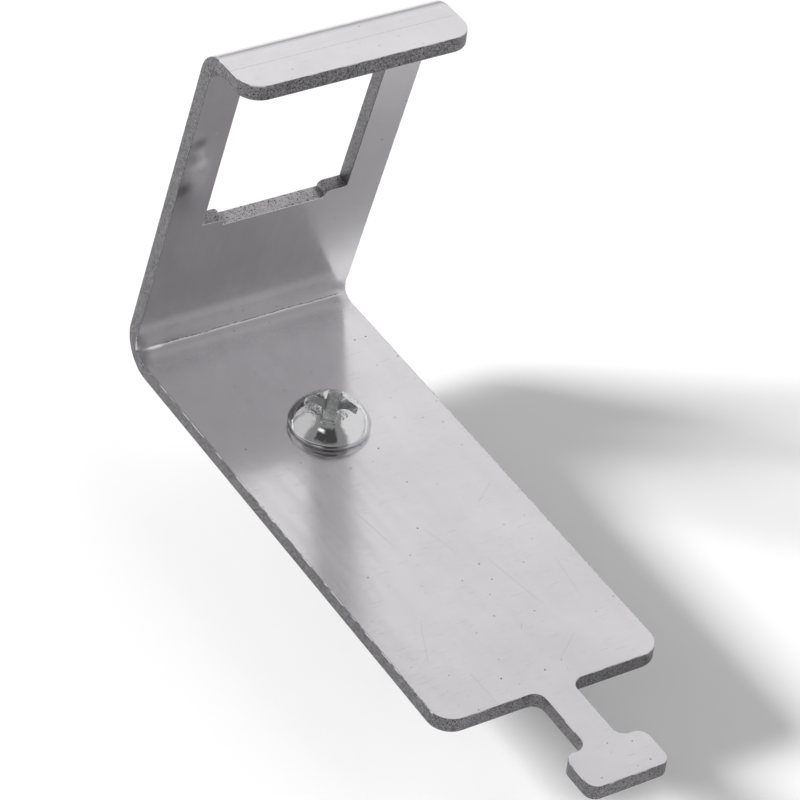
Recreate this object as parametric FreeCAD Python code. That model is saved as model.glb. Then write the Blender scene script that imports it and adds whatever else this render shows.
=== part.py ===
import FreeCAD, Part
import math
import os

# Rail holder for one keystone jack.
# A sheet bracket is folded into a plate, a leaning upright with the jack window and a lip.
# A spring clip under the plate grips a top-hat rail, and one pan-head screw holds the two together.
# Frame: +Z points away from the rail and Y runs across it, with the upright at +Y.
# The origin is the middle of the rail seat, which is the underside of the clip's web.

# Bracket sheet: plate, upright and lip lengths run between the inner corners of the folds
sheet = 1.5
fold_radius = 1.9
plate_width = 23.0
plate_length = 56.0
plate_corner = 2.2
lean = 15.0
upright_length = 40.0
lip_length = 6.2
lip_corner = 2.2

# Cable-tie tab at the front of the plate
neck_width = 3.25
neck_length = 7.6
neck_fillet = 1.1
head_width = 8.2
head_length = 4.5
head_corner = 1.1

# Keystone window in the upright, with a notch in its foot for the jack's hook
window_width = 15.2
window_height = 19.4
window_foot = 17.3
notch_width = 10.6
notch_depth = 0.75
notch_rounding = 0.6

# Pan-head screw with a cross recess
thread_diameter = 4.0
screw_length = 6.0
screw_from_fold = 17.1
cap_diameter = 7.8
cap_height = 3.1
cap_dome_radius = 4.3
cap_rounding = 0.5
recess_span = 4.8
recess_floor_span = 1.6
recess_wing = 0.95
recess_depth = 2.0
recess_rounding = 1.0
recess_turn = 48.0
tip_chamfer = 0.5

# Top-hat rail that the clip grips
rail_width = 35.0
rail_lip = 1.0
rail_offset = 3.5

# Rail clip, folded from a strip of spring steel
strip = 1.0
strip_width = 12.0
strip_corner = 1.5
hook_reach = 2.6
loop_belly = 0.9
catch_rise = 20.0
catch_reach = 1.1
catch_radius = 0.5
flare_slope = 55.0
flare_length = 4.2
collar_wall = 0.8
collar_drop = 1.2
collar_fillet = 0.4

# Clearances
plate_hole_clearance = 0.25
thread_clearance = 0.05
lip_clearance = 0.3
catch_clearance = 0.1
rail_end_clearance = 0.4

# Places that follow from the sizes
web_top = strip
plate_top = web_top + sheet
screw_y = rail_offset
fold_y = screw_y + screw_from_fold
front_y = fold_y - plate_length
neck_end_y = front_y - neck_length
head_end_y = neck_end_y - head_length
upright_turn = 90.0 + lean
lip_turn = 90.0 - lean
thread_radius = thread_diameter / 2
cap_radius = cap_diameter / 2


def side_point(y, z):
    """Point of the middle plane, where the folded sections are drawn."""
    return FreeCAD.Vector(0, y, z)


def turned(point, centre, angle):
    """Point turned about a centre in the middle plane, anticlockwise seen with +Y to the right."""
    a = math.radians(angle)
    y = point.y - centre.y
    z = point.z - centre.z
    return side_point(
        centre.y + y * math.cos(a) - z * math.sin(a),
        centre.z + y * math.sin(a) + z * math.cos(a),
    )


def setback(radius, angle):
    """Length from the corner of a fold to the end of its inside arc."""
    return radius * math.tan(math.radians(angle) / 2)


def folded_strip(start, heading, steps, thickness, width):
    """Strip of even thickness and width, from its flats and bends in order.

    The walk follows the left face. A flat is its length alone. A bend is its turn in
    degrees, to the left if positive, and its inside radius.
    """
    left = []
    right = []
    point = start
    for step in steps:
        a = math.radians(heading)
        ahead = side_point(math.cos(a), math.sin(a))
        to_right = side_point(math.sin(a), -math.cos(a)) * thickness
        if len(step) == 1:
            after = point + ahead * step[0]
            left.append(Part.makeLine(point, after))
            right.append(Part.makeLine(point + to_right, after + to_right))
        else:
            turn, radius = step
            if turn > 0:
                centre = point - to_right * (radius / thickness)
            else:
                centre = point + to_right * (radius / thickness + 1)
            for edges, first in ((left, point), (right, point + to_right)):
                middle = turned(first, centre, turn / 2)
                last = turned(first, centre, turn)
                edges.append(Part.Arc(first, middle, last).toShape())
            after = turned(point, centre, turn)
            heading = heading + turn
        point = after
    caps = [
        Part.makeLine(left[0].firstVertex().Point, right[0].firstVertex().Point),
        Part.makeLine(left[-1].lastVertex().Point, right[-1].lastVertex().Point),
    ]
    outline = Part.Wire(Part.__sortEdges__(left + right + caps))
    section = Part.Face(outline)
    section.translate(FreeCAD.Vector(-width / 2, 0, 0))
    return section.extrude(FreeCAD.Vector(width, 0, 0))


def upright_edges(shape, y, half_width):
    """Edges along Z at one place along the plate, on both sides."""
    found = []
    for edge in shape.Edges:
        box = edge.BoundBox
        flat = box.XLength < 1e-4 and box.YLength < 1e-4
        if flat and abs(box.YMin - y) < 1e-4 and abs(abs(box.XMin) - half_width) < 1e-4:
            found.append(edge)
    return found


def rectangle(width, y_from, y_to, z):
    """Face parallel to the plate, centred on the middle plane."""
    corners = [
        FreeCAD.Vector(-width / 2, y_from, z),
        FreeCAD.Vector(width / 2, y_from, z),
        FreeCAD.Vector(width / 2, y_to, z),
        FreeCAD.Vector(-width / 2, y_to, z),
    ]
    return Part.Face(Part.makePolygon(corners + corners[:1]))


def window_cutter():
    """Prism of the keystone window, square to the leaning upright."""
    half = window_width / 2
    notch = notch_width / 2
    top = window_foot + window_height
    floor = window_foot - notch_depth
    r = notch_rounding
    s = r * math.sin(math.radians(45))
    points = [(-half, window_foot), (-half, top), (half, top), (half, window_foot)]
    right_lead = [(half, window_foot), (notch + r, window_foot)]
    right_bend = [(notch + r, window_foot), (notch + r - s, window_foot - r + s), (notch, window_foot - r)]
    edges = []
    for first, last in zip(points, points[1:]):
        edges.append(Part.makeLine(FreeCAD.Vector(*first), FreeCAD.Vector(*last)))
    for side in (1, -1):
        lead = [FreeCAD.Vector(side * x, y) for x, y in right_lead]
        bend = [FreeCAD.Vector(side * x, y) for x, y in right_bend]
        edges.append(Part.makeLine(*lead))
        edges.append(Part.Arc(*bend).toShape())
        edges.append(Part.makeLine(bend[-1], FreeCAD.Vector(side * notch, floor)))
    edges.append(Part.makeLine(FreeCAD.Vector(-notch, floor), FreeCAD.Vector(notch, floor)))
    face = Part.Face(Part.Wire(Part.__sortEdges__(edges)))
    prism = face.extrude(FreeCAD.Vector(0, 0, -2 * sheet))
    prism.translate(FreeCAD.Vector(0, 0, sheet / 2))
    corner = FreeCAD.Vector(0, fold_y, plate_top)
    prism.Placement = FreeCAD.Placement(
        corner, FreeCAD.Rotation(FreeCAD.Vector(1, 0, 0), upright_turn)
    ).multiply(prism.Placement)
    return prism


def make_bracket():
    low_setback = setback(fold_radius, upright_turn)
    top_setback = setback(fold_radius, lip_turn)
    shape = folded_strip(
        side_point(front_y, plate_top),
        0.0,
        [
            (plate_length - low_setback,),
            (upright_turn, fold_radius),
            (upright_length - low_setback - top_setback,),
            (lip_turn, fold_radius),
            (lip_length - top_setback,),
        ],
        sheet,
        plate_width,
    )
    neck = rectangle(neck_width, neck_end_y, front_y, web_top).extrude(FreeCAD.Vector(0, 0, sheet))
    head = rectangle(head_width, head_end_y, neck_end_y, web_top).extrude(FreeCAD.Vector(0, 0, sheet))
    shape = shape.fuse([neck, head]).removeSplitter()
    lip_y = fold_y - upright_length * math.sin(math.radians(lean)) - lip_length
    shape = shape.makeFillet(plate_corner, upright_edges(shape, front_y, plate_width / 2))
    shape = shape.makeFillet(lip_corner, upright_edges(shape, lip_y, plate_width / 2))
    shape = shape.makeFillet(head_corner, upright_edges(shape, head_end_y, head_width / 2))
    shape = shape.makeFillet(head_corner, upright_edges(shape, neck_end_y, head_width / 2))
    shape = shape.makeFillet(neck_fillet, upright_edges(shape, front_y, neck_width / 2))
    shape = shape.makeFillet(neck_fillet, upright_edges(shape, neck_end_y, neck_width / 2))
    shape = shape.cut(window_cutter())
    hole = Part.makeCylinder(
        thread_radius + plate_hole_clearance,
        sheet,
        FreeCAD.Vector(0, screw_y, web_top),
    )
    return shape.cut(hole)


def make_clip():
    """Fixed hook at the back, web, spring loop and catch at the front, with a lead-in flare."""
    gap = rail_lip + lip_clearance
    hook_radius = gap / 2
    back_y = rail_width / 2 + rail_end_clearance
    hook_flat = rail_end_clearance + hook_reach - hook_radius
    loop_radius = (gap + loop_belly) / 2
    nose_radius = catch_radius + strip
    rise = math.radians(catch_rise)
    nose_drop = rail_lip + catch_clearance
    climb = loop_radius * (1 + math.cos(rise)) - nose_radius * (1 - math.cos(rise)) - nose_drop
    catch_length = climb / math.sin(rise)
    nose_run = (loop_radius + nose_radius) * math.sin(rise) + catch_length * math.cos(rise)
    loop_y = -rail_width / 2 + catch_reach - nose_run
    shape = folded_strip(
        side_point(back_y - hook_radius - hook_flat, -gap),
        0.0,
        [
            (hook_flat,),
            (180.0, hook_radius),
            (back_y - hook_radius - loop_y,),
            (180.0 + catch_rise, loop_radius),
            (catch_length,),
            (-catch_rise - 180.0 + flare_slope, catch_radius),
            (flare_length,),
        ],
        strip,
        strip_width,
    )
    collar_radius = thread_radius + thread_clearance
    collar = Part.makeCylinder(
        collar_radius + collar_wall,
        collar_drop + strip,
        FreeCAD.Vector(0, screw_y, -collar_drop),
    )
    ends = [
        edge for edge in shape.Edges
        if abs(edge.Length - strip) < 1e-4 and edge.BoundBox.XLength < 1e-4
    ]
    shape = shape.makeFillet(strip_corner, ends)
    shape = shape.fuse(collar).removeSplitter()
    roots = []
    for edge in shape.Edges:
        box = edge.BoundBox
        level = abs(box.ZMin) < 1e-4 and abs(box.ZMax) < 1e-4
        if level and abs(box.XLength - 2 * (collar_radius + collar_wall)) < 1e-3:
            roots.append(edge)
    shape = shape.makeFillet(collar_fillet, roots)
    bore = Part.makeCylinder(
        collar_radius,
        collar_drop + strip,
        FreeCAD.Vector(0, screw_y, -collar_drop),
    )
    return shape.cut(bore)


def make_recess():
    """Cross recess: two bars with rounded roots, inside a cone that narrows to the driver's tip."""
    wings = Part.makeBox(recess_span, recess_wing, recess_depth)
    wings.translate(FreeCAD.Vector(-recess_span / 2, -recess_wing / 2, 0))
    across = wings.copy()
    across.rotate(FreeCAD.Vector(), FreeCAD.Vector(0, 0, 1), 90)
    cross = wings.fuse(across).removeSplitter()
    roots = []
    for edge in cross.Edges:
        box = edge.BoundBox
        inner = abs(abs(box.XMin) - recess_wing / 2) < 1e-4 and abs(abs(box.YMin) - recess_wing / 2) < 1e-4
        if inner and box.ZLength > recess_depth / 2:
            roots.append(edge)
    cross = cross.makeFillet(recess_rounding, roots)
    cone = Part.makeCone(recess_floor_span / 2, recess_span / 2, recess_depth)
    point = Part.makeCone(0, recess_floor_span / 2, recess_floor_span / 4)
    point.translate(FreeCAD.Vector(0, 0, -recess_floor_span / 4))
    recess = cross.common(cone).fuse(point)
    recess.rotate(FreeCAD.Vector(), FreeCAD.Vector(0, 0, 1), recess_turn)
    return recess


def arc_about(x, z, radius, from_angle, to_angle):
    """Arc in the middle plane of the screw, from one angle above its centre's level to another."""
    ends = []
    for angle in (from_angle, (from_angle + to_angle) / 2, to_angle):
        ends.append(FreeCAD.Vector(x + radius * math.cos(angle), 0, z + radius * math.sin(angle)))
    return Part.Arc(*ends).toShape()


def make_screw():
    """Head and shank turned as one profile about the screw's axis, then the recess cut."""
    top = plate_top + cap_height
    tip = plate_top - screw_length
    dome_z = top - cap_dome_radius
    rounding_x = cap_radius - cap_rounding
    rounding_z = dome_z + math.sqrt((cap_dome_radius - cap_rounding) ** 2 - rounding_x ** 2)
    shoulder = math.atan2(rounding_z - dome_z, rounding_x)
    edges = [
        arc_about(rounding_x, rounding_z, cap_rounding, 0, shoulder),
        arc_about(0, dome_z, cap_dome_radius, shoulder, math.pi / 2),
    ]
    corners = [
        FreeCAD.Vector(0, 0, top),
        FreeCAD.Vector(0, 0, tip),
        FreeCAD.Vector(thread_radius - tip_chamfer, 0, tip),
        FreeCAD.Vector(thread_radius, 0, tip + tip_chamfer),
        FreeCAD.Vector(thread_radius, 0, plate_top),
        FreeCAD.Vector(cap_radius, 0, plate_top),
        FreeCAD.Vector(cap_radius, 0, rounding_z),
    ]
    for first, last in zip(corners, corners[1:]):
        edges.append(Part.makeLine(first, last))
    profile = Part.Face(Part.Wire(Part.__sortEdges__(edges)))
    shape = profile.revolve(FreeCAD.Vector(), FreeCAD.Vector(0, 0, 1), 360)
    recess = make_recess()
    recess.translate(FreeCAD.Vector(0, 0, top - recess_depth))
    shape = shape.cut(recess)
    shape.translate(FreeCAD.Vector(0, screw_y, 0))
    return shape


os.makedirs("parts", exist_ok=True)
bracket = make_bracket()
bracket.exportStep("parts/bracket.step")
rail_clip = make_clip()
rail_clip.exportStep("parts/rail_clip.step")
screw = make_screw()
screw.exportStep("parts/clamp_screw.step")
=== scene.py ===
import bmesh
import bpy
import math
from types import SimpleNamespace
from bpy.props import FloatProperty, FloatVectorProperty, PointerProperty
from mathutils import Euler, Matrix, Vector


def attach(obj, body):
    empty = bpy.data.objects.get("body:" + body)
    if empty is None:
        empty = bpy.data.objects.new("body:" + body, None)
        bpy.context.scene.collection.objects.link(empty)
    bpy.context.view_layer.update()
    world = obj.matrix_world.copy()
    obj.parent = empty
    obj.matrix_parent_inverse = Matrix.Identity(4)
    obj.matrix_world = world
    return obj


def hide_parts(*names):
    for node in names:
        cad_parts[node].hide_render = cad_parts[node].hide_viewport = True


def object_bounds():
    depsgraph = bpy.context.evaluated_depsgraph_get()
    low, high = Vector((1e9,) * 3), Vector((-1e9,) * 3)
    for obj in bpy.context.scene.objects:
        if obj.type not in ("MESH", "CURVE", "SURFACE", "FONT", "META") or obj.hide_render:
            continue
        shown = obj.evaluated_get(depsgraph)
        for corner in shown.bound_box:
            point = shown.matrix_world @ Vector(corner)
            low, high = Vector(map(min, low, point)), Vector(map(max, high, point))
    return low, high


bl_info = {
    "name": "Keystone Rail Holder",
    "version": (1, 0, 0),
    "blender": (4, 5, 0),
    "location": "3D View > Sidebar > Rail Holder",
    "description": "Folded sheet bracket, clamp screw and spring clip that hold one keystone jack on a rail",
    "category": "Add Mesh",
}

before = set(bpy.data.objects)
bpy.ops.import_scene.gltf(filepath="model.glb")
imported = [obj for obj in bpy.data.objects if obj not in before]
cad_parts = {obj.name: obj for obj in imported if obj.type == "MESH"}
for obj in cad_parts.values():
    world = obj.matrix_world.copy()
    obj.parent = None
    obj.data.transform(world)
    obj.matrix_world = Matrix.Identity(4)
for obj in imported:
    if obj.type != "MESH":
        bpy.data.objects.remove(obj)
cad_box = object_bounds()

MM = 0.001
TINY = 1e-6

# The blank's own coordinates: its outer face is shifted aside by this many millimetres.
BLANK = "blank"
OUTER_SHIFT = 60.0

# Edges with a smaller angle between their faces are shaded smooth.
SMOOTH_BELOW = math.radians(40)

# How finely curves are cut.
BRACKET_BEND_STRIPS = 40
CLIP_BEND_STRIPS = 24
HEAD_SIDES = 160
THREAD_SIDES = 48
COLLAR_SIDES = 48

# Depth of a metric thread, as a share of its pitch.
THREAD_DEPTH = 0.6134

# Between these heights, in millimetres, the cut edges are those of the upright.
PLATE_TOP = 2.6
LIP_UNDERSIDE = 40.2

# Marks on the blank, in millimetres: single specks with their size, scratches with both ends and their width.
SPECKS = (((0.3, 14.2), 0.13), ((0.2, 4.2), 0.1), ((2.3, 3.5), 0.1))
SCRATCHES = (
    ((4.9, 21.0), (3.4, 29.5), 0.05),
    ((1.5, 30.0), (0.3, 35.2), 0.04),
    ((-3.2, 33.0), (-4.2, 40.0), 0.04),
    ((8.4, 20.5), (9.3, 27.0), 0.035),
    ((6.6, 35.5), (9.8, 38.0), 0.035),
    ((-8.6, 19.0), (-6.2, 24.5), 0.035),
    ((2.0, 14.6), (5.6, 17.4), 0.035),
    ((-5.9, 17.1), (-5.7, 11.9), 0.04),
    ((1.2, 19.5), (1.7, 20.2), 0.06),
)

# The room's panels: azimuth, half width, lowest and highest edge, softness, and the setting with its level.
PANELS = (
    (35, 54, 10, 50, 18, "back_level"),
    (106, 53, 0, 55.5, 8, "right_level"),
    (-60, 24, 0, 50, 6, "left_level"),
    (-143, 31, 18, 55, 4, "stand_level"),
    (-121, 13, 43, 50, 3, "spark_level"),
)


def length(name, description, size):
    """Property for a size that is written in millimetres and kept in metres."""
    return FloatProperty(name=name, description=description, default=size * MM, unit="LENGTH", precision=5)


def brightness(name, description, value):
    """Property for the brightness of a lamp or of a part of the room."""
    return FloatProperty(name=name, description=description, default=value, min=0.0)


def turn(name, description, degrees):
    """Property for an angle that is written in degrees."""
    return FloatProperty(name=name, description=description, default=math.radians(degrees), subtype="ANGLE")


def colour(name, description, value):
    """Property for a colour, in linear light."""
    return FloatVectorProperty(
        name=name, description=description, default=value, subtype="COLOR", size=3, min=0.0, max=1.0
    )


class BracketSizes(bpy.types.PropertyGroup):
    """Sizes of the folded bracket."""

    sheet: length("Sheet", "Thickness of the bracket's sheet", 1.5)
    fold_radius: length("Fold Radius", "Inside radius of both folds", 1.9)
    lean: turn("Lean", "How far the upright leans over the plate", 15.0)
    plate_width: length("Width", "Width of plate, upright and lip", 23.0)
    plate_length: length("Plate Length", "From the front edge to the inner corner of the low fold", 56.0)
    plate_corner: length("Corner Radius", "Rounding of the plate's front corners and the lip's corners", 2.2)
    upright_length: length("Upright Length", "Between the inner corners of the two folds", 40.0)
    lip_length: length("Lip Length", "From the inner corner of the top fold to the free edge", 6.2)
    neck_width: length("Neck Width", "Width of the tie tab's neck", 3.25)
    neck_length: length("Neck Length", "From the plate's front edge to the tab's head", 7.6)
    neck_fillet: length("Neck Fillet", "Rounding at both ends of the neck", 1.1)
    head_width: length("Head Width", "Width of the tie tab's head", 8.2)
    head_length: length("Head Length", "Length of the tie tab's head", 4.5)
    window_width: length("Window Width", "Width of the jack window", 15.2)
    window_height: length("Window Height", "Height of the jack window", 19.4)
    window_foot: length("Window Foot", "From the low fold's inner corner to the window", 17.3)
    notch_width: length("Notch Width", "Width of the notch in the window's foot", 10.6)
    notch_depth: length("Notch Depth", "Depth of the notch in the window's foot", 0.75)
    notch_rounding: length("Notch Rounding", "Rounding of the notch's corners", 0.6)
    hole_radius: length("Hole Radius", "Screw hole through the plate", 2.25)
    arris: length("Arris", "Rounding that the deburring leaves on the cut edges", 0.1)
    crease: turn("Crease", "Turn that the punch's nose puts into one line, inside a fold", 36.0)
    edge_sink: length("Edge Sink", "How far the inside of a fold sinks at the sheet's edges", 0.22)
    edge_sink_reach: length("Edge Sink Reach", "How far in from the sheet's edge a fold sinks", 1.3)


class ScrewSizes(bpy.types.PropertyGroup):
    """Sizes of the pan-head clamp screw."""

    from_fold: length("From Fold", "From the low fold's inner corner to the screw's axis", 17.1)
    thread_diameter: length("Thread", "Outside diameter of the thread", 4.0)
    pitch: length("Pitch", "Rise of the thread in one turn", 0.7)
    shank_length: length("Length", "From under the head to the tip", 6.0)
    tip_chamfer: length("Tip Chamfer", "Chamfer at the tip", 0.5)
    cap_diameter: length("Head Diameter", "Diameter of the head", 7.8)
    cap_foot: length("Head Foot", "Diameter where the head meets the plate", 7.36)
    cap_height: length("Head Height", "Height of the head, to the top of the whole dome", 3.1)
    cap_dome_radius: length("Dome Radius", "Radius of the head's dome", 4.3)
    cap_rounding: length("Head Rounding", "Rounding between the head's dome and its side", 0.5)
    recess_span: length("Recess Span", "Across the cross recess from wing to wing, at the top", 4.8)
    recess_floor_span: length("Recess Floor Span", "Across the recess from wing to wing, at its floor", 1.6)
    recess_wing: length("Recess Wing", "Width of one wing of the recess at its tip", 1.1)
    recess_depth: length("Recess Depth", "Depth of the recess below the dome's top", 2.0)
    recess_mouth: length("Recess Mouth", "Rounding of the corners between the wings, at the top", 1.35)
    recess_rounding: length("Recess Rounding", "Rounding of those corners, below the flared mouth", 0.35)
    recess_turn: turn("Recess Turn", "Turn of the recess about the screw's axis", 48.0)
    mouth_depth: length("Mouth Depth", "Depth over which the recess's mouth flares", 0.36)
    rim_rounding: length("Rim Rounding", "Rounding where the dome turns down into the recess", 0.1)


class ClipSizes(bpy.types.PropertyGroup):
    """Sizes of the spring clip that grips the rail."""

    strip: length("Strip", "Thickness of the spring strip", 1.0)
    strip_width: length("Strip Width", "Width of the spring strip", 12.0)
    strip_corner: length("Corner Radius", "Rounding of the strip's corners", 1.5)
    rail_width: length("Rail Width", "Width of the top-hat rail", 35.0)
    rail_lip: length("Rail Lip", "Thickness of the rail's lip", 1.0)
    rail_offset: length("Rail Offset", "From the rail's middle to the screw", 3.5)
    hook_reach: length("Hook Reach", "How far the fixed hook reaches under the rail's lip", 2.6)
    loop_belly: length("Loop Belly", "How much wider the spring loop is than the hook", 0.9)
    catch_rise: turn("Catch Rise", "Slope of the catch", 20.0)
    catch_reach: length("Catch Reach", "How far the catch reaches under the rail's lip", 1.1)
    catch_radius: length("Catch Radius", "Inside radius of the catch's nose", 0.5)
    flare_slope: turn("Flare Slope", "Slope of the lead-in flare", 55.0)
    flare_length: length("Flare Length", "Length of the lead-in flare", 4.2)
    lip_clearance: length("Lip Clearance", "Room for the rail's lip in the hook", 0.3)
    catch_clearance: length("Catch Clearance", "Room between the catch and the rail's lip", 0.1)
    rail_end_clearance: length("Rail End Clearance", "Room between the rail's end and the hook's bend", 0.4)
    bore_radius: length("Bore Radius", "Threaded bore of the collar", 2.05)
    collar_wall: length("Collar Wall", "Wall of the drawn collar round the screw", 0.8)
    collar_drop: length("Collar Drop", "How far the collar stands below the web", 1.2)
    collar_fillet: length("Collar Fillet", "Fillet between the web and the collar", 0.4)
    arris: length("Arris", "Rounding of the strip's arrises", 0.06)


class Finishes(bpy.types.PropertyGroup):
    """Colours of the metal surfaces."""

    sheet_metal: colour("Sheet", "Rolled face of the bracket's sheet", (0.655, 0.640, 0.662))
    cut_metal: colour("Cut Edge", "Cut edges of the bracket's sheet", (0.175, 0.17, 0.178))
    # Painted light: the lighter colour of the window's foot, which faces up towards the bright room.
    window_foot_painted_light: colour("Rubbed Edge", "Foot of the window, where jacks have rubbed it", (0.62, 0.60, 0.62))
    # Painted highlight: a near-white colour laid on upward-facing arrises, standing in for the light they
    # catch.
    arris_highlight: colour("Burr", "Arrises that are rubbed bright", (0.96, 0.95, 0.97))
    plating: colour("Plating", "Bright plating of the screw", (0.70, 0.70, 0.71))
    recess: colour("Recess", "Dull inside of the screw's recess", (0.74, 0.75, 0.75))
    spring_metal: colour("Spring", "Spring strip of the rail clip", (0.47, 0.465, 0.455))


class StageSettings(bpy.types.PropertyGroup):
    """Floor, lights and camera."""

    floor_colour: colour("Floor", "Colour of the floor", (0.86, 0.86, 0.86))
    floor_size: FloatProperty(name="Floor Size", description="Side of the floor", default=6.0, unit="LENGTH")
    camera_place: FloatVectorProperty(
        name="Camera", description="Place of the camera", default=(-0.154772, -0.225480, 0.225975),
        subtype="TRANSLATION", unit="LENGTH", size=3,
    )
    camera_turn: FloatVectorProperty(
        name="Camera Turn", description="Turn of the camera", subtype="EULER", size=3,
        default=(math.radians(51.32779821), math.radians(-5.4540114), math.radians(-31.00092398)),
    )
    camera_lens: FloatProperty(
        name="Lens", description="Focal length on a 36 mm sensor, in millimetres", default=172.596
    )
    room_level: brightness("Room", "Level of the room all round", 0.31)
    back_level: brightness("Back Panel", "Level of the bright panel behind the object", 1.13)
    right_level: brightness("Right Panel", "Level of the panel to the right", 0.90)
    left_level: brightness("Left Panel", "Level of the panel to the left", 0.72)
    stand_level: brightness("Camera Stand", "Level of the dark camera and its stand", 0.075)
    spark_level: brightness("Spark", "Level of the small window beside the camera", 1.5)
    key_power: brightness("Key Lamp", "Power of the key lamp in watts", 86.0)
    key_side: FloatProperty(name="Key Side", description="Side of the key lamp", default=0.55, unit="LENGTH")
    key_place: FloatVectorProperty(
        name="Key Place", description="Place of the key lamp", default=(-1.875, 1.0825, 1.25),
        subtype="TRANSLATION", unit="LENGTH", size=3,
    )


def everything(bm):
    """All of a bmesh, for the tools that want their geometry named."""
    return bm.verts[:] + bm.edges[:] + bm.faces[:]


def finished_object(bm, name, materials):
    """Object from a bmesh: joints closed, faces outward, shaded smooth except at hard edges."""
    bmesh.ops.remove_doubles(bm, verts=bm.verts[:], dist=TINY)
    bmesh.ops.recalc_face_normals(bm, faces=bm.faces[:])
    for edge in bm.edges:
        edge.smooth = len(edge.link_faces) == 2 and edge.calc_face_angle() < SMOOTH_BELOW
    for face in bm.faces:
        face.smooth = True
    mesh = bpy.data.meshes.new(name)
    bm.to_mesh(mesh)
    bm.free()
    for material in materials:
        mesh.materials.append(material)
    piece = bpy.data.objects.new(name, mesh)
    bpy.context.scene.collection.objects.link(piece)
    shading = piece.modifiers.new("flats keep their shading", "WEIGHTED_NORMAL")
    shading.keep_sharp = True
    return piece


# Sheet work: a flat blank is cut, then laid along the path of its flats and bends.
# A blank lies in X and Y, with Y along the strip and its thickness below Z = 0.

def setback(radius, angle):
    """Length from the corner of a fold to the end of its inside arc."""
    return radius * math.tan(angle / 2)


def fold_stations(start, steps, thickness):
    """Where each flat and bend begins along the blank, and where it goes.

    A flat is its length alone. A bend is its turn, to the left if positive, and its inside radius.
    """
    stations = []
    place = 0.0
    heading = 0.0
    point = Vector((0, *start))
    for step in steps:
        ahead = Vector((0, math.cos(heading), math.sin(heading)))
        left = Vector((0, -math.sin(heading), math.cos(heading)))
        if len(step) == 1:
            run, swing, centre = step[0], 0.0, point
            after = point + ahead * run
        else:
            swing, radius = step
            run = (radius + thickness / 2) * abs(swing)
            centre = point + left * (radius if swing > 0 else -radius - thickness)
            after = centre + Matrix.Rotation(swing, 3, "X") @ (point - centre)
        stations.append(SimpleNamespace(
            place=place, length=run, turn=swing, point=point, centre=centre, ahead=ahead, left=left
        ))
        place += run
        heading += swing
        point = after
    return stations


def folded(co, stations):
    """Place of one point of the blank after folding."""
    station = stations[0]
    for later in stations[1:]:
        if co.y > later.place - TINY:
            station = later
    along = co.y - station.place
    point = station.point + station.left * co.z
    if station.turn:
        swing = Matrix.Rotation(station.turn * along / station.length, 3, "X")
        point = station.centre + swing @ (point - station.centre)
    else:
        point = point + station.ahead * along
    return point + Vector((co.x, 0, 0))


def lay_outline(bm, half_outline):
    """Flat face from the right half of a symmetrical outline, listed from the front to the back."""
    corners = [(x, y, 0) for x, y in half_outline]
    corners += [(-x, y, 0) for x, y in reversed(half_outline)]
    bm.faces.new([bm.verts.new(corner) for corner in corners])


def round_corners(bm, places, radius, segments=10):
    """Rounds the outline's corners at these places, on both sides."""
    found = []
    for vert in bm.verts:
        for x, y in places:
            if abs(abs(vert.co.x) - x) < TINY and abs(vert.co.y - y) < TINY:
                found.append(vert)
    bmesh.ops.bevel(
        bm, geom=found, offset=radius, offset_type="OFFSET", segments=segments, profile=0.5,
        affect="VERTICES", clamp_overlap=False, material=-1,
    )


def cut_across(bm, places):
    """Cuts the blank straight across at these places along it."""
    for place in places:
        bmesh.ops.bisect_plane(bm, geom=everything(bm), dist=TINY, plane_co=(0, place, 0), plane_no=(0, 1, 0))


def each_once(items):
    """List without repeats, in the order of the items."""
    return list(dict.fromkeys(items))


def with_corners(faces):
    """Faces together with their edges and corners."""
    return faces + each_once(item for face in faces for item in (*face.edges, *face.verts))


def cut_along(bm, places, y_from, y_to):
    """Cuts the blank lengthwise at these distances from its middle, within one stretch of it."""
    for place in places:
        for x in (place, -place):
            geom = with_corners([face for face in bm.faces if y_from < face.calc_center_median().y < y_to])
            bmesh.ops.bisect_plane(bm, geom=geom, dist=TINY, plane_co=(x, 0, 0), plane_no=(1, 0, 0))


def ready_for_bends(bm, stations, segments):
    """Cuts each bend into even strips, with a narrow strip of flat beside it."""
    guard = 0.15 * MM
    for station in stations:
        if station.turn:
            start, run = station.place, station.length
            count = 2 * max(2, round(segments * abs(station.turn) / math.pi / 2))
            cut_across(bm, [start - guard, start + run + guard])
            cut_across(bm, [start + run * i / count for i in range(count + 1)])


def face_at(bm, y):
    """The face whose centre lies on the middle line of the blank, at this place along it."""
    return min(bm.faces, key=lambda face: (face.calc_center_median() - Vector((0, y, 0))).length)


def cut_hole(bm, y, radius):
    """Round hole on the middle line of the blank."""
    half = radius * 1.35
    cut_across(bm, [y - half, y + half])
    cut_along(bm, [half], y - half, y + half)
    bmesh.ops.subdivide_edges(bm, edges=face_at(bm, y).edges[:], cuts=7)
    square = face_at(bm, y)
    bmesh.ops.inset_individual(bm, faces=[square], thickness=radius * 0.2)
    centre = Vector((0, y, 0))
    for vert in square.verts:
        vert.co = centre + (vert.co - centre).normalized() * radius
    bmesh.ops.delete(bm, geom=[square], context="FACES_ONLY")


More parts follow.
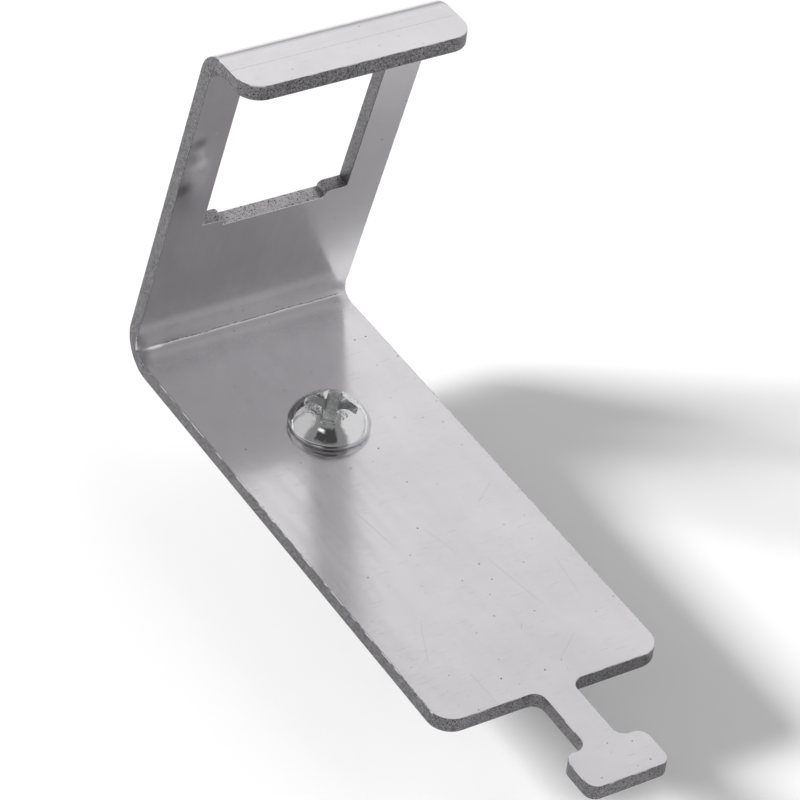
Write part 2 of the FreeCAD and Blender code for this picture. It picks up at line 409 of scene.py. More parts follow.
def give_thickness(bm, thickness, arris):
    """Extrudes the blank downwards, rounds its arrises and marks its faces and cut edges."""
    made = bmesh.ops.extrude_face_region(bm, geom=bm.faces[:])
    lower = [item for item in made["geom"] if isinstance(item, bmesh.types.BMVert)]
    bmesh.ops.translate(bm, verts=lower, vec=(0, 0, -thickness))
    bmesh.ops.recalc_face_normals(bm, faces=bm.faces[:])
    hard = [edge for edge in bm.edges if edge.calc_face_angle() > math.radians(60)]
    bmesh.ops.bevel(
        bm, geom=hard, offset=arris, offset_type="OFFSET", segments=2, profile=0.5,
        affect="EDGES", clamp_overlap=False, material=-1,
    )
    bm.normal_update()
    flat_map = bm.loops.layers.uv.new(BLANK)
    for face in bm.faces:
        face.material_index = 0 if abs(face.normal.z) > 0.6 else 1
        shift = OUTER_SHIFT if face.normal.z < 0 else 0.0
        for loop in face.loops:
            loop[flat_map].uv = (loop.vert.co.x / MM + shift, loop.vert.co.y / MM)


def crease_depth(station, share, radius, crease):
    """How far the inside of a fold lies below its round, at one share of the way through it.

    The inside is two flatter arcs that meet in the crease, and they start where the round starts.
    """
    half = station.turn / 2
    arc = half - crease / 2
    run = setback(radius, station.turn)
    slope = math.tan(math.pi / 2 - half)
    flatter = run * slope / (1 - math.cos(arc) + math.sin(arc) * slope)
    angle = half - abs(share - 0.5) * station.turn
    drop = flatter - radius
    return math.sqrt(flatter ** 2 - (drop * math.sin(angle)) ** 2) - drop * math.cos(angle) - radius


def sink_fold(bm, station, depth, sizes):
    """Presses the crease into the inside of a bend, and sinks it at the sheet's edges as folding does."""
    run = 0.8 * MM
    skin = 0.3 * MM
    reach = sizes.edge_sink_reach
    for vert in bm.verts:
        along = vert.co.y - station.place
        if vert.co.z < -skin or not -run < along < station.length + run:
            continue
        inward = max(0.0, (abs(vert.co.x) - sizes.plate_width / 2 + reach) / reach)
        swell = math.sin(math.pi * (along + run) / (station.length + 2 * run)) ** 2
        vert.co.z -= depth * swell * inward ** 2
        if 0 < along < station.length:
            share = along / station.length
            vert.co.z -= crease_depth(station, share, sizes.fold_radius, sizes.crease)


def bracket_stations(sizes):
    """Path of the bracket's sheet, from the tab's free end to the lip's free edge."""
    screw = bpy.context.scene.holder_screw
    clip = bpy.context.scene.holder_clip
    low_turn = math.pi / 2 + sizes.lean
    top_turn = math.pi / 2 - sizes.lean
    low = setback(sizes.fold_radius, low_turn)
    top = setback(sizes.fold_radius, top_turn)
    tab = sizes.neck_length + sizes.head_length
    fold_y = clip.rail_offset + screw.from_fold
    start = (fold_y - sizes.plate_length - tab, clip.strip + sizes.sheet)
    steps = [
        (tab + sizes.plate_length - low,),
        (low_turn, sizes.fold_radius),
        (sizes.upright_length - low - top,),
        (top_turn, sizes.fold_radius),
        (sizes.lip_length - top,),
    ]
    return fold_stations(start, steps, sizes.sheet), low


def build_bracket(sizes):
    """The bracket's mesh: outline, corners, window, screw hole, thickness, then the two folds."""
    screw = bpy.context.scene.holder_screw
    stations, low = bracket_stations(sizes)
    low_fold, upright, top_fold, lip = stations[1:]
    half = sizes.plate_width / 2
    neck = sizes.neck_width / 2
    head = sizes.head_width / 2
    front = sizes.head_length + sizes.neck_length
    end = lip.place + lip.length
    bm = bmesh.new()
    outline = [(head, 0), (head, sizes.head_length), (neck, sizes.head_length)]
    outline += [(neck, front), (half, front), (half, end)]
    lay_outline(bm, outline)
    round_corners(bm, [(half, front), (half, end)], sizes.plate_corner)
    round_corners(bm, outline[:4], sizes.neck_fillet)
    ready_for_bends(bm, stations, BRACKET_BEND_STRIPS)
    foot = upright.place + sizes.window_foot - low
    top = foot + sizes.window_height
    floor = foot - sizes.notch_depth
    side = sizes.window_width / 2
    notch = sizes.notch_width / 2
    cut_across(bm, [floor, foot, top])
    clear = 0.2 * MM
    cut_along(bm, [notch, side], upright.place + clear, top_fold.place - clear)
    opening = []
    for face in bm.faces:
        centre = face.calc_center_median()
        in_window = abs(centre.x) < side and foot < centre.y < top
        in_notch = abs(centre.x) < notch and floor < centre.y < foot
        if in_window or in_notch:
            opening.append(face)
    bmesh.ops.delete(bm, geom=opening, context="FACES")
    round_corners(bm, [(notch, foot)], sizes.notch_rounding, 6)
    cut_hole(bm, front + sizes.plate_length - screw.from_fold, sizes.hole_radius)
    strips = [half - sizes.edge_sink_reach * i / 6 for i in range(1, 7)]
    margin = 1.2 * MM
    for fold in (low_fold, top_fold):
        cut_along(bm, strips, fold.place - margin, fold.place + fold.length + margin)
    give_thickness(bm, sizes.sheet, sizes.arris)
    for fold, share in ((low_fold, 1.0), (top_fold, 0.3)):
        sink_fold(bm, fold, sizes.edge_sink * share, sizes)
    for vert in bm.verts:
        vert.co = folded(vert.co, stations)
    return bm


def clip_stations(sizes):
    """Path of the clip's strip, from the fixed hook's tip to the flare's end."""
    gap = sizes.rail_lip + sizes.lip_clearance
    hook = gap / 2
    back_y = sizes.rail_width / 2 + sizes.rail_end_clearance
    hook_flat = sizes.rail_end_clearance + sizes.hook_reach - hook
    loop = (gap + sizes.loop_belly) / 2
    nose = sizes.catch_radius + sizes.strip
    rise = sizes.catch_rise
    drop = sizes.rail_lip + sizes.catch_clearance
    climb = loop * (1 + math.cos(rise)) - nose * (1 - math.cos(rise)) - drop
    catch = climb / math.sin(rise)
    run = (loop + nose) * math.sin(rise) + catch * math.cos(rise)
    loop_y = -sizes.rail_width / 2 + sizes.catch_reach - run
    steps = [
        (hook_flat,),
        (math.pi, hook),
        (back_y - hook - loop_y,),
        (math.pi + rise, loop),
        (catch,),
        (-rise - math.pi + sizes.flare_slope, sizes.catch_radius),
        (sizes.flare_length,),
    ]
    return fold_stations((back_y - hook - hook_flat, -gap), steps, sizes.strip)


def build_clip(sizes):
    """The rail clip's mesh: the folded strip and the collar drawn from its web."""
    stations = clip_stations(sizes)
    web = stations[2]
    half = sizes.strip_width / 2
    end = stations[-1].place + stations[-1].length
    bm = bmesh.new()
    lay_outline(bm, [(half, 0), (half, end)])
    round_corners(bm, [(half, 0), (half, end)], sizes.strip_corner)
    ready_for_bends(bm, stations, CLIP_BEND_STRIPS)
    cut_hole(bm, web.place + web.point.y - sizes.rail_offset, sizes.bore_radius)
    give_thickness(bm, sizes.strip, sizes.arris)
    for vert in bm.verts:
        vert.co = folded(vert.co, stations)
    bore = sizes.bore_radius
    outside = bore + sizes.collar_wall
    fillet = sizes.collar_fillet
    arris = sizes.arris
    drop = sizes.collar_drop
    sunk = 0.3 * MM
    profile = [
        (outside + fillet, sunk), (bore, sunk), (bore, arris - drop), (bore + arris, -drop),
        (outside - arris, -drop), (outside, arris - drop),
    ]
    for i in range(7):
        a = math.radians(90 * i / 6)
        profile.append((outside + fillet * (1 - math.cos(a)), -fillet * (1 - math.sin(a))))
    verts = [bm.verts.new((x, sizes.rail_offset, z)) for x, z in profile]
    edges = [bm.edges.new(pair) for pair in zip(verts, verts[1:] + verts[:1])]
    bmesh.ops.spin(
        bm, geom=verts + edges, cent=(0, sizes.rail_offset, 0), axis=(0, 0, 1), dvec=(0, 0, 0),
        angle=2 * math.pi, steps=COLLAR_SIDES, use_merge=True,
    )
    return bm


# Screw: rings are pulled from the head's underside over the dome and down into the recess.

def wing_reach(angle, span, rounding, sizes):
    """Distance from the axis to the recess's wall, in a section with this half span and corner rounding."""
    phi = math.fmod(angle - sizes.recess_turn, math.pi / 2)
    phi = abs(phi + math.pi / 2 if phi < 0 else phi)
    phi = min(phi, math.pi / 2 - phi)
    half_wing = sizes.recess_wing / 2
    corner = half_wing + rounding
    reach = span
    if phi > TINY:
        reach = half_wing / math.sin(phi)
        if reach * math.cos(phi) < corner:
            along = corner * (math.cos(phi) + math.sin(phi))
            reach = along - math.sqrt(max(0.0, along ** 2 - 2 * corner ** 2 + rounding ** 2))
    return min(reach, span)


def pull_ring(bm, edges, place):
    """Extrudes a ring's edges and puts the new ring where place says for each angle."""
    made = bmesh.ops.extrude_edge_only(bm, edges=edges)
    for item in made["geom"]:
        if isinstance(item, bmesh.types.BMVert):
            radius, z = place(math.atan2(item.co.y, item.co.x))
            spoke = Vector((item.co.x, item.co.y, 0)).normalized()
            item.co = spoke * radius + Vector((0, 0, z))
    return [item for item in made["geom"] if isinstance(item, bmesh.types.BMEdge)]


def build_screw(sizes):
    """The screw's mesh about its axis: head with the cross recess, and the threaded shank."""
    dome = sizes.cap_dome_radius
    cap = sizes.cap_diameter / 2
    rounding = sizes.cap_rounding
    rim = sizes.rim_rounding
    height = sizes.cap_height
    shank = sizes.thread_diameter / 2
    bm = bmesh.new()
    ring = bmesh.ops.create_circle(bm, cap_ends=True, segments=HEAD_SIDES, radius=shank * 0.7)
    edges = each_once(edge for vert in ring["verts"] for edge in vert.link_edges)

    def on_dome(radius):
        return height - dome + math.sqrt(dome ** 2 - radius ** 2)

    centre_x = cap - rounding
    centre_z = height - dome + math.sqrt((dome - rounding) ** 2 - centre_x ** 2)
    foot = sizes.cap_foot / 2
    profile = [(foot - 0.3 * MM, 0.0)]
    for i in range(9):
        slope = math.radians(90 * i / 8)
        profile.append((foot + (cap - foot) * math.sin(slope), centre_z * (1 - math.cos(slope))))
    top_slope = math.atan2(centre_z - height + dome, centre_x)
    for i in range(1, 13):
        slope = top_slope * i / 12
        profile.append((centre_x + rounding * math.cos(slope), centre_z + rounding * math.sin(slope)))
    steps = [lambda a, spot=spot: spot for spot in profile]
    span = sizes.recess_span / 2
    mouth = sizes.recess_mouth
    shoulder = centre_x + rounding * math.cos(top_slope)
    for i in range(1, 11):
        def over_dome(a, share=i / 11):
            radius = shoulder + (wing_reach(a, span, mouth, sizes) + rim - shoulder) * share
            return radius, on_dome(radius)
        steps.append(over_dome)
    for i in range(6):
        def over_rim(a, dip=math.radians(60 * i / 5)):
            reach = wing_reach(a, span, mouth, sizes)
            return reach + rim * (1 - math.sin(dip)), on_dome(reach + rim) - rim * (1 - math.cos(dip))
        steps.append(over_rim)
    floor = sizes.recess_floor_span / 2
    flare = [(sizes.mouth_depth * i / 5, i / 5) for i in range(1, 6)]
    wall = [(sizes.mouth_depth + (sizes.recess_depth - sizes.mouth_depth) * i / 8, 1.0) for i in range(1, 9)]
    for depth, closed in flare + wall:
        def down_wall(a, share=depth / sizes.recess_depth, closed=closed):
            corner = mouth + (sizes.recess_rounding - mouth) * closed
            narrow = span + (floor - span) * share
            top = on_dome(wing_reach(a, span, mouth, sizes) + rim) - rim / 2
            return wing_reach(a, narrow, corner, sizes), top + (height - sizes.recess_depth - top) * share
        steps.append(down_wall)
    steps.append(lambda a: (floor * 0.5, height - sizes.recess_depth - floor * 0.25))
    first_recess_ring = len(steps) - 1 - len(wall)
    for number, step in enumerate(steps):
        known = set(bm.faces)
        edges = pull_ring(bm, edges, step)
        for face in bm.faces:
            if face not in known:
                face.material_index = 1 if number >= first_recess_ring else 0
    last = each_once(vert for edge in edges for vert in edge.verts)
    point = height - sizes.recess_depth - sizes.recess_floor_span / 4
    bmesh.ops.pointmerge(bm, verts=last, merge_co=(0, 0, point))

    pitch = sizes.pitch
    root = shank - THREAD_DEPTH * pitch
    worn = shank - 0.02 * MM
    turns = math.ceil(sizes.shank_length / pitch) + 2
    ridge = [(root, 0), (root, pitch / 4), (worn, pitch * 0.52), (shank, pitch * 0.56)]
    ridge += [(shank, pitch * 0.69), (worn, pitch * 0.73), (root, pitch)]
    base = -sizes.shank_length - pitch
    verts = [bm.verts.new((x, 0, base + z)) for x, z in ridge]
    thread_edges = [bm.edges.new(pair) for pair in zip(verts, verts[1:])]
    known = set(bm.verts) - set(verts)
    bmesh.ops.spin(
        bm, geom=verts + thread_edges, cent=(0, 0, 0), axis=(0, 0, 1), dvec=(0, 0, pitch / THREAD_SIDES),
        angle=2 * math.pi * turns, steps=THREAD_SIDES * turns,
    )
    shell = [vert for vert in bm.verts if vert not in known]
    bmesh.ops.remove_doubles(bm, verts=shell, dist=TINY)
    tip = -sizes.shank_length
    for z, outward in ((0.1 * MM, 1), (tip, -1)):
        geom = with_corners([face for face in bm.faces if face.verts[0] not in known])
        bmesh.ops.bisect_plane(
            bm, geom=geom, dist=TINY, plane_co=(0, 0, z), plane_no=(0, 0, outward), clear_outer=True
        )
    for vert in bm.verts:
        if vert not in known:
            limit = shank - sizes.tip_chamfer + (vert.co.z - tip)
            radius = math.hypot(vert.co.x, vert.co.y)
            if radius > limit:
                vert.co.x *= limit / radius
                vert.co.y *= limit / radius
    bmesh.ops.holes_fill(bm, edges=[edge for edge in bm.edges if edge.is_boundary], sides=0)
    clip = bpy.context.scene.holder_clip
    bracket = bpy.context.scene.holder_bracket
    bmesh.ops.translate(bm, verts=bm.verts[:], vec=(0, clip.rail_offset, clip.strip + bracket.sheet))
    return bm


# Finishes: all coordinates are in millimetres, and a share goes from 0 to 1.

class Output:
    """A node's output. Reckoning with it adds Math nodes to its tree, and a | b is the larger of the two."""

    def __init__(self, socket):
        self.socket = socket
        self.tree = socket.id_data

    def beside(self, name):
        """Another output of the same node, by its name or number."""
        return Output(self.socket.node.outputs[name])

    def maths(self, operation, *others):
        """Output of a Math node on this output and other outputs or numbers."""
        return add_node(self.tree, "ShaderNodeMath", dict(enumerate((self, *others))), operation=operation)

    def vectors(self, operation, other, output=0):
        """Output of a Vector Math node on this vector and another."""
        return add_node(self.tree, "ShaderNodeVectorMath", {0: self, 1: other}, output, operation=operation)

    def ramp(self, low, high, to_low=0.0, to_high=1.0):
        """Output that goes smoothly from one level to another as this one crosses a range."""
        inputs = {0: self, 1: low, 2: high, 3: to_low, 4: to_high}
        return add_node(self.tree, "ShaderNodeMapRange", inputs, interpolation_type="SMOOTHSTEP")

    def __add__(self, other):
        return self.maths("ADD", other)

    def __sub__(self, other):
        return self.maths("SUBTRACT", other)

    def __mul__(self, other):
        return self.maths("MULTIPLY", other)

    def __lt__(self, other):
        return self.maths("LESS_THAN", other)

    def __gt__(self, other):
        return self.maths("GREATER_THAN", other)

    def __or__(self, other):
        return self.maths("MAXIMUM", other)

    def __abs__(self):
        return self.maths("ABSOLUTE")


def fill(node, inputs):
    """Gives a node's inputs their values, or links them to the outputs that feed them."""
    for name, value in inputs.items():
        if isinstance(value, Output):
            node.id_data.links.new(value.socket, node.inputs[name])
        else:
            node.inputs[name].default_value = value


def add_node(tree, kind, inputs=None, output=0, **settings):
    """Adds a node with these settings and inputs, and gives one of its outputs."""
    made = tree.nodes.new(kind)
    for name, value in settings.items():
        setattr(made, name, value)
    fill(made, inputs or {})
    return Output(made.outputs[output])


def any_of(shares):
    """The largest of some shares at each place."""
    largest = shares[0]
    for share in shares[1:]:
        largest = largest | share
    return largest


def blend_colour(share, first, second):
    """Output that mixes two colours."""
    inputs = {0: share}
    for socket, value in ((6, first), (7, second)):
        inputs[socket] = value if isinstance(value, Output) else (*value, 1.0)
    return add_node(share.tree, "ShaderNodeMix", inputs, 2, data_type="RGBA", blend_type="MIX")


def stained(base, stains):
    """Colour with stains laid over it in turn. Each is its share, its strength and its colour."""
    for share, strength, tint in stains:
        base = blend_colour(share * strength, base, tint)
    return base


def grain(vector, scale, detail=3.0, rough=0.55, dimensions="3D"):
    """Noise pattern."""
    inputs = {"Vector": vector, "Scale": scale, "Detail": detail, "Roughness": rough}
    return add_node(vector.tree, "ShaderNodeTexNoise", inputs, "Fac", noise_dimensions=dimensions)


def flat_grain(vector, scale, detail=3.0, rough=0.55):
    """Noise pattern on the flat blank."""
    return grain(vector, scale, detail, rough, "2D")


def stretched(vector, angle, scale, shift=(0, 0, 0)):
    """Coordinates turned, stretched and shifted. Stretched grain makes marks that run one way."""
    inputs = {"Vector": vector, "Location": shift, "Rotation": (0, 0, angle), "Scale": scale}
    return add_node(vector.tree, "ShaderNodeMapping", inputs)


def parts(vector):
    """The three coordinates of a vector."""
    first = add_node(vector.tree, "ShaderNodeSeparateXYZ", {0: vector})
    return first, first.beside(1), first.beside(2)


def in_millimetres(material):
    """Object coordinates in millimetres."""
    return stretched(add_node(material.node_tree, "ShaderNodeTexCoord", output="Object"), 0.0, (1 / MM,) * 3)


def on_blank(material):
    """Coordinates on the flat blank, in millimetres."""
    return add_node(material.node_tree, "ShaderNodeUVMap", uv_map=BLANK)


def upward(material):
    """How far the surface faces up, from -1 to 1."""
    return parts(add_node(material.node_tree, "ShaderNodeTexCoord", output="Normal"))[2]


def blot(vector, centre, reach, core=0.0):
    """Share of one round mark on the blank, full inside its core."""
    return vector.vectors("DISTANCE", (*centre, 0), "Value").ramp(reach, core)


def scratch(vector, start, end, width):
    """Share of one straight scratch between two points of the blank, fading towards its ends."""
    run = Vector(end) - Vector(start)
    from_start = vector.vectors("SUBTRACT", (*start, 0))
    along, across, _ = parts(stretched(from_start, -math.atan2(run.y, run.x), (1, 1, 1)))
    beyond = abs(along - run.length / 2)
    return abs(across).ramp(width, 0.0) * beyond.ramp(run.length / 2, run.length * 0.3)


def new_material(name):
    """New material with its one shader."""
    material = bpy.data.materials.new(name)
    material.use_nodes = True
    return material


def feed(material, base, level, relief, strength=1.0, depth=MM, metallic=1.0):
    """Gives a metal its colour, roughness and relief, and returns it."""
    tree = material.node_tree
    bump = add_node(tree, "ShaderNodeBump", {"Height": relief, "Strength": strength, "Distance": depth})
    inputs = {"Base Color": base, "Roughness": level, "Normal": bump, "Metallic": metallic}
    fill(tree.nodes["Principled BSDF"], inputs)
    return material


def arris_highlight_patches(place):
    """Where an arris gets its painted highlight, in patches."""
    return grain(place, 0.45, 3.0).ramp(0.47, 0.55)


def arris_highlight_metallic(arris_highlight):
    """How metallic the sheet is: less under the painted arris highlight, so that it catches the lamps' light.
    """
    return arris_highlight.ramp(0.0, 1.0, 1.0, 0.3)


def sheet_specks(blank):
    """Share of the small dark specks: a ragged one in some cells of the blank, and a few single ones."""
    inputs = {"Vector": blank, "Scale": 0.8, "Randomness": 1.0}
    cells = add_node(blank.tree, "ShaderNodeTexVoronoi", inputs, "Distance", voronoi_dimensions="2D")
    chance = add_node(blank.tree, "ShaderNodeSeparateColor", {0: cells.beside("Color")})
    ragged = flat_grain(blank, 7.0, 3.0, 0.7) * chance.ramp(0.68, 1.0, 0.0, 0.15)
    specks = (cells - ragged).ramp(0.004, -0.012) * chance.beside(1).ramp(0.2, 1.0)
    return any_of([specks] + [blot(blank, centre, reach, reach * 0.4) for centre, reach in SPECKS])


def sheet_scratches(blank):
    """Share of the scratches: short faint ones in three directions, and single ones."""
    shares = []
    for angle, reach in ((0.35, 0.75), (-0.9, 0.76), (1.45, 0.755)):
        lines = flat_grain(stretched(blank, angle, (0.35, 9.0, 1.0)), 1.0, 1.0)
        shares.append(lines.ramp(reach, reach + 0.06, 0.0, 0.6))
    return any_of(shares + [scratch(blank, *ends) for ends in SCRATCHES])


def rolled_sheet(colours, sizes):
    """Rolled, bright sheet with specks, fine scratches, the die's marks and the crease of the fold, whose
    highlight, shade and glint are painted; with painted highlights on arrises and painted reflections on the
    upright's left side.
    """
    material = new_material("rolled sheet")
    blank = on_blank(material)
    place = in_millimetres(material)
    aside, along, _ = parts(blank)
    stations = bracket_stations(sizes)[0]
    low_fold, top_fold, lip = stations[1], stations[3], stations[4]
    broken = flat_grain(blank, 2.6, 4.0, 0.7)
    specks = sheet_specks(blank)
    fine = sheet_scratches(blank)

    wander = (flat_grain(blank, 0.35) - 0.5) * 0.25
    crease = along - (wander + (low_fold.place + low_fold.length * 0.5) / MM)
    span = abs(aside - 0.9).ramp(9.9, 9.2)
    track = abs(crease).ramp(1.3, 0.1) * span
    bend_haze = abs(crease).ramp(4.6, 1.4)
    # Painted light along the fold's crease: a near-white highlight line, a dark shade line that also sinks
    # the bump as the groove, and a painted glint at the crease's left end.
    painted_crease_highlight = abs(crease + 0.05).ramp(0.05, 0.0) * span * broken.ramp(0.38, 0.55)
    crease_groove_and_shade = abs(crease - 0.09).ramp(0.1, 0.02) * span * broken.ramp(0.62, 0.45)
    glint = abs(aside + 9.5).ramp(1.0, 0.3) * abs(crease + 0.1).ramp(0.3, 0.08)

    edge = abs(abs(aside) - sizes.plate_width / MM / 2)
    level_face = (along < low_fold.place / MM) | (along > lip.place / MM)
    tilted = abs(upward(material)).ramp(0.99, 0.93) * level_face
    # Painted highlight on the arrises of the level faces, in patches.
    arris_highlight = tilted * arris_highlight_patches(place)
    # Darker broken line within 0.2 mm of the sheet's side edges and on the arrises of the level faces.
    edge_darkening = (edge.ramp(0.2, 0.05) | tilted) * flat_grain(blank, 3.4, 4.0, 0.7).ramp(0.46, 0.56)
    # Painted reflections on the upright's left side: two dark blots and one bright one, standing in for what
    # a slight dent would mirror.
    painted_dark_reflection = blot(blank, (-10.6, 97.6), 1.3) | blot(blank, (-11.0, 91.4), 1.5)
    painted_bright_reflection = blot(blank, (-9.95, 94.5), 1.3)

    die_lines = []
    for fold in (low_fold, top_fold):
        for line in (fold.place / MM - 1.5, (fold.place + fold.length) / MM + 1.5):
            die_lines.append(abs(along - line).ramp(0.09, 0.03))
    die = any_of(die_lines) * (aside > OUTER_SHIFT / 2) * broken.ramp(0.3, 0.6)

    cloud = grain(place, 0.11, 3.0).ramp(0.3, 0.7)
    shade = tuple(c * 0.93 for c in colours.sheet_metal)
    base = stained(blend_colour(cloud, colours.sheet_metal, shade), (
        (specks, 0.7, (0.09, 0.085, 0.09)),
        (fine, 0.35, (0.34, 0.33, 0.34)),
        (track, 0.22, (0.42, 0.41, 0.43)),
        (crease_groove_and_shade, 0.65, (0.12, 0.115, 0.12)),
        (painted_crease_highlight, 0.5, (0.95, 0.94, 0.96)),
        (glint, 0.8, (0.95, 0.94, 0.96)),
        (die, 0.3, (0.3, 0.29, 0.31)),
        (painted_dark_reflection, 0.7, (0.16, 0.155, 0.16)),
        (painted_bright_reflection, 0.7, (0.98, 0.97, 0.99)),
        (arris_highlight, 0.75, colours.arris_highlight),
        (edge_darkening, 0.6, (0.14, 0.135, 0.14)),
    ))
    smear = flat_grain(stretched(blank, 0.0, (1.0, 0.12, 1.0)), 0.8, 4.0).ramp(0.25, 0.75, 0.145, 0.195)
    level = smear + (fine | specks) * 0.12 + track * 0.06 + bend_haze * 0.14 + arris_highlight * 0.2
    relief = grain(place, 0.22, 2.0) * 0.012 + flat_grain(blank, 5.0, 2.0) * 0.00015
    relief = relief - specks * 0.01 - (fine | die) * 0.001 - crease_groove_and_shade * 0.012
    return feed(material, base, level, relief, metallic=arris_highlight_metallic(arris_highlight))


def cut_edge(colours, sizes):
    """Sheared edge of the sheet: dark and grainy, with painted light along the window's foot, which faces up,
    held back beside the notch.
    """
    material = new_material("cut edge")
    place = in_millimetres(material)
    aside, _, height = parts(place)
    pits = grain(place, 7.0, 3.0, 0.7)
    patches = grain(place, 0.7, 3.0)
    foot = (sizes.window_foot * math.cos(sizes.lean) + sizes.sheet) / MM + 1.0
    side = sizes.window_width / MM / 2
    notch = sizes.notch_width / MM / 2
    # Painted light: the window's foot faces up and is given a lighter colour, with less of it beside the
    # notch.
    foot_painted_light = abs(height - foot).ramp(1.3, 0.9) * abs(aside).ramp(side - 0.02, side - 0.08)
    foot_beside_notch = foot_painted_light * abs(aside).ramp(notch - 0.7, notch)
    level_wall = (height < PLATE_TOP) | (height > LIP_UNDERSIDE)
    # Painted highlight on the cut edges that face up, on the plate and the lip.
    arris_highlight = upward(material).ramp(0.12, 0.4) * level_wall * arris_highlight_patches(place)
    base = stained(blend_colour(foot_painted_light, colours.cut_metal, colours.window_foot_painted_light), (
        (foot_beside_notch, 0.6, colours.cut_metal),
        (patches.ramp(0.5, 0.75), 0.35, (0.34, 0.33, 0.345)),
        (pits.ramp(0.45, 0.38), 0.4, (0.5, 0.49, 0.51)),
        (pits.ramp(0.54, 0.60), 0.92, (0.03, 0.029, 0.03)),
        (arris_highlight, 0.75, colours.arris_highlight),
    ))
    level = patches.ramp(0.3, 0.7, 0.34, 0.5)
    return feed(material, base, level, pits, 0.8, 0.06 * MM, arris_highlight_metallic(arris_highlight))


def bright_plating(colours):
    """Bright plating with a faint haze and fine handling marks, lumpy round the recess."""
    material = new_material("bright plating")
    place = in_millimetres(material)
    haze = grain(place, 0.9, 4.0)
    marks = grain(stretched(place, 0.7, (0.6, 9.0, 2.0)), 1.0, 2.0).ramp(0.66, 0.74)
    base = blend_colour(haze.ramp(0.5, 0.8) * 0.25, colours.plating, (0.55, 0.55, 0.56))
    base = blend_colour(marks * 0.25, base, (0.35, 0.35, 0.36))
    level = haze.ramp(0.3, 0.8, 0.05, 0.11) + marks * 0.15
    axis_y = bpy.context.scene.holder_clip.rail_offset / MM
    off_axis = stretched(place, 0.0, (1, 1, 0), (0, -axis_y, 0)).vectors("LENGTH", (0, 0, 0), "Value")
    lumps = grain(place, 2.4, 2.0) * off_axis.ramp(2.75, 2.2) * 0.09
    return feed(material, base, level, haze * 0.03 + marks * -0.004 + lumps)


def dull_recess(colours):
    """Recess walls: thin plating over the punch's marks."""
    material = new_material("dull recess")
    drawn = grain(stretched(in_millimetres(material), 0.0, (5.0, 5.0, 0.6)), 1.0, 3.0)
    worn = tuple(c * 0.72 for c in colours.recess)
    base = blend_colour(drawn.ramp(0.35, 0.7), colours.recess, worn)
    return feed(material, base, drawn.ramp(0.3, 0.7, 0.42, 0.58), drawn, 0.5, 0.05 * MM)


def spring_strip(colours):
    """Spring strip, ground along its length and slightly warm from the hardening."""
    material = new_material("spring strip")
    lines = flat_grain(stretched(on_blank(material), 0.0, (9.0, 0.25, 1.0)), 1.0, 4.0, 0.65)
    tint = grain(in_millimetres(material), 0.18, 3.0)
    warm = tuple(c * f for c, f in zip(colours.spring_metal, (0.86, 0.8, 0.74)))
    base = blend_colour(tint.ramp(0.4, 0.7), colours.spring_metal, warm)
    base = blend_colour(lines.ramp(0.55, 0.75) * 0.35, base, (0.2, 0.2, 0.2))
    return feed(material, base, lines.ramp(0.3, 0.7, 0.24, 0.36), lines, 0.35, 0.02 * MM)


def spring_edge(colours):
    """Cut edges of the spring strip and its collar."""
    material = new_material("spring edge")
    pits = grain(in_millimetres(material), 5.0, 3.0, 0.65)
    dark = tuple(c * 0.55 for c in colours.spring_metal)
    base = blend_colour(pits.ramp(0.4, 0.65), colours.spring_metal, dark)
    return feed(material, base, pits.ramp(0.3, 0.7, 0.34, 0.46), pits, 0.4, 0.03 * MM)


# Stage

def soft_panel(direction, azimuth, *angles):
    """Share of a soft-edged panel of the room, round an azimuth that runs from +Y towards +X.

    The angles are the panel's half width, its lowest and highest edge, and how soft it is, in degrees.
    """
    a = math.radians(azimuth)
    aside = direction.vectors("DOT_PRODUCT", (math.cos(a), -math.sin(a), 0), "Value")
    ahead = direction.vectors("DOT_PRODUCT", (math.sin(a), math.cos(a), 0), "Value")
    away = abs(aside.maths("ARCTAN2", ahead))
    rise = parts(direction)[2].maths("ARCSINE")
    half_width, low, high, edge = [math.radians(angle) for angle in angles]
    wide = away.ramp(half_width + edge, half_width - edge)
    return wide * (rise.ramp(low - edge, low + edge) * rise.ramp(high + edge, high - edge))


def light_room(settings):
    """World: a quiet grey room with bright panels behind and to both sides, and a dark camera stand."""
    world = bpy.data.worlds.new("studio room")
    bpy.context.scene.world = world
    world.use_nodes = True
    tree = world.node_tree
    direction = add_node(tree, "ShaderNodeTexCoord", output="Generated")
    strength = settings.room_level
    for *panel, setting in PANELS:
        inputs = {0: soft_panel(direction, *panel), 2: strength, 3: getattr(settings, setting)}
        strength = add_node(tree, "ShaderNodeMix", inputs, data_type="FLOAT")
    fill(tree.nodes["Background"], {"Strength": strength, "Color": (1.0, 1.0, 1.0, 1.0)})


def add_lamp(name, place, aim, side, power):
    """Square soft lamp that lights the stage without showing in the metal."""
    light = bpy.data.lights.new(name, "AREA")
    light.shape = "SQUARE"
    light.size = side
    light.energy = power
    lamp = bpy.data.objects.new(name, light)
    lamp.location = place
    lamp.rotation_euler = (Vector(aim) - Vector(place)).to_track_quat("-Z", "Y").to_euler()
    lamp.visible_glossy = False
    bpy.context.scene.collection.objects.link(lamp)


def add_floor(settings):
    """Plain pale floor under the lowest point of the clip."""
    bm = bmesh.new()
    bmesh.ops.create_grid(bm, x_segments=1, y_segments=1, size=settings.floor_size / 2)
    bmesh.ops.translate(bm, verts=bm.verts[:], vec=(0, 0, cad_box[0][2]))
    mesh = bpy.data.meshes.new("floor")
    bm.to_mesh(mesh)
    bm.free()
    material = new_material("pale floor")
    inputs = {"Base Color": (*settings.floor_colour, 1.0), "Roughness": 0.9, "Specular IOR Level": 0.0}
    fill(material.node_tree.nodes["Principled BSDF"], inputs)
    mesh.materials.append(material)
    floor = bpy.data.objects.new("floor", mesh)
    bpy.context.scene.collection.objects.link(floor)


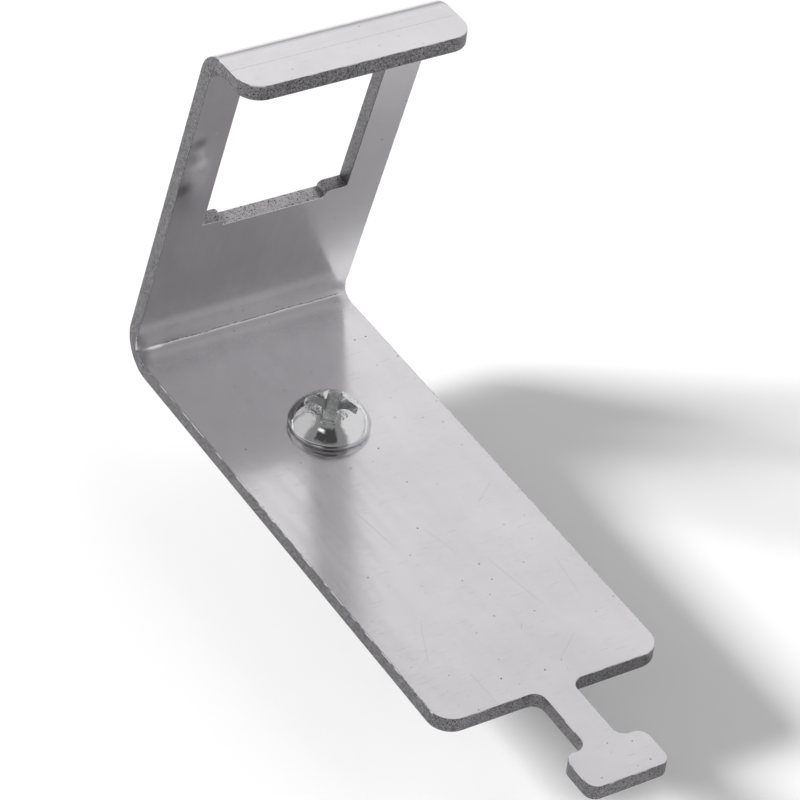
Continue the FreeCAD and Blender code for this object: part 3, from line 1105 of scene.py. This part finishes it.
def add_camera(settings):
    """Camera at the photograph's viewing angle."""
    data = bpy.data.cameras.new("camera")
    data.sensor_width = 36.0
    data.lens = settings.camera_lens
    data.clip_start = 0.01
    data.clip_end = 50.0
    camera = bpy.data.objects.new("camera", data)
    camera.location = settings.camera_place
    camera.rotation_euler = Euler(settings.camera_turn, "XYZ")
    bpy.context.scene.collection.objects.link(camera)
    bpy.context.scene.camera = camera


class HOLDER_OT_bracket(bpy.types.Operator):
    """Add the folded bracket with its jack window and tie tab"""

    bl_idname = "holder.bracket"
    bl_label = "Bracket"

    def execute(self, context):
        sizes = context.scene.holder_bracket
        colours = context.scene.holder_finishes
        finishes = [rolled_sheet(colours, sizes), cut_edge(colours, sizes)]
        piece = finished_object(build_bracket(sizes), "folded_bracket", finishes)
        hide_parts("bracket")
        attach(piece, "root")
        return {"FINISHED"}


class HOLDER_OT_screw(bpy.types.Operator):
    """Add the pan-head clamp screw"""

    bl_idname = "holder.screw"
    bl_label = "Clamp Screw"

    def execute(self, context):
        colours = context.scene.holder_finishes
        finishes = [bright_plating(colours), dull_recess(colours)]
        piece = finished_object(build_screw(context.scene.holder_screw), "pan_head_screw", finishes)
        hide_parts("clamp_screw")
        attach(piece, "root")
        return {"FINISHED"}


class HOLDER_OT_rail_clip(bpy.types.Operator):
    """Add the spring clip that grips the rail"""

    bl_idname = "holder.rail_clip"
    bl_label = "Rail Clip"

    def execute(self, context):
        colours = context.scene.holder_finishes
        finishes = [spring_strip(colours), spring_edge(colours)]
        piece = finished_object(build_clip(context.scene.holder_clip), "spring_rail_clip", finishes)
        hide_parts("rail_clip")
        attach(piece, "root")
        return {"FINISHED"}


class HOLDER_OT_stage(bpy.types.Operator):
    """Add the floor, the lights and the camera"""

    bl_idname = "holder.stage"
    bl_label = "Stage"

    def execute(self, context):
        settings = context.scene.holder_stage
        context.scene.view_settings.view_transform = "Standard"
        light_room(settings)
        add_lamp("key lamp", settings.key_place, (0, 0, 0), settings.key_side, settings.key_power)
        add_floor(settings)
        add_camera(settings)
        return {"FINISHED"}


class HOLDER_PT_sidebar(bpy.types.Panel):
    """Sidebar panel that lists the holder's pieces"""

    bl_idname = "HOLDER_PT_sidebar"
    bl_label = "Rail Holder"
    bl_space_type = "VIEW_3D"
    bl_region_type = "UI"
    bl_category = "Rail Holder"

    def draw(self, context):
        layout = self.layout
        for operator in PIECES:
            layout.operator(operator.bl_idname)


PIECES = (HOLDER_OT_bracket, HOLDER_OT_screw, HOLDER_OT_rail_clip, HOLDER_OT_stage)
GROUPS = {
    "holder_bracket": BracketSizes,
    "holder_screw": ScrewSizes,
    "holder_clip": ClipSizes,
    "holder_finishes": Finishes,
    "holder_stage": StageSettings,
}


def register():
    for name, group in GROUPS.items():
        bpy.utils.register_class(group)
        setattr(bpy.types.Scene, name, PointerProperty(type=group))
    for item in (*PIECES, HOLDER_PT_sidebar):
        bpy.utils.register_class(item)


def unregister():
    for item in (HOLDER_PT_sidebar, *reversed(PIECES)):
        bpy.utils.unregister_class(item)
    for name, group in GROUPS.items():
        delattr(bpy.types.Scene, name)
        bpy.utils.unregister_class(group)


def main():
    register()
    bpy.ops.holder.bracket()
    bpy.ops.holder.screw()
    bpy.ops.holder.rail_clip()
    bpy.ops.holder.stage()


if __name__ == "__main__":
    main()
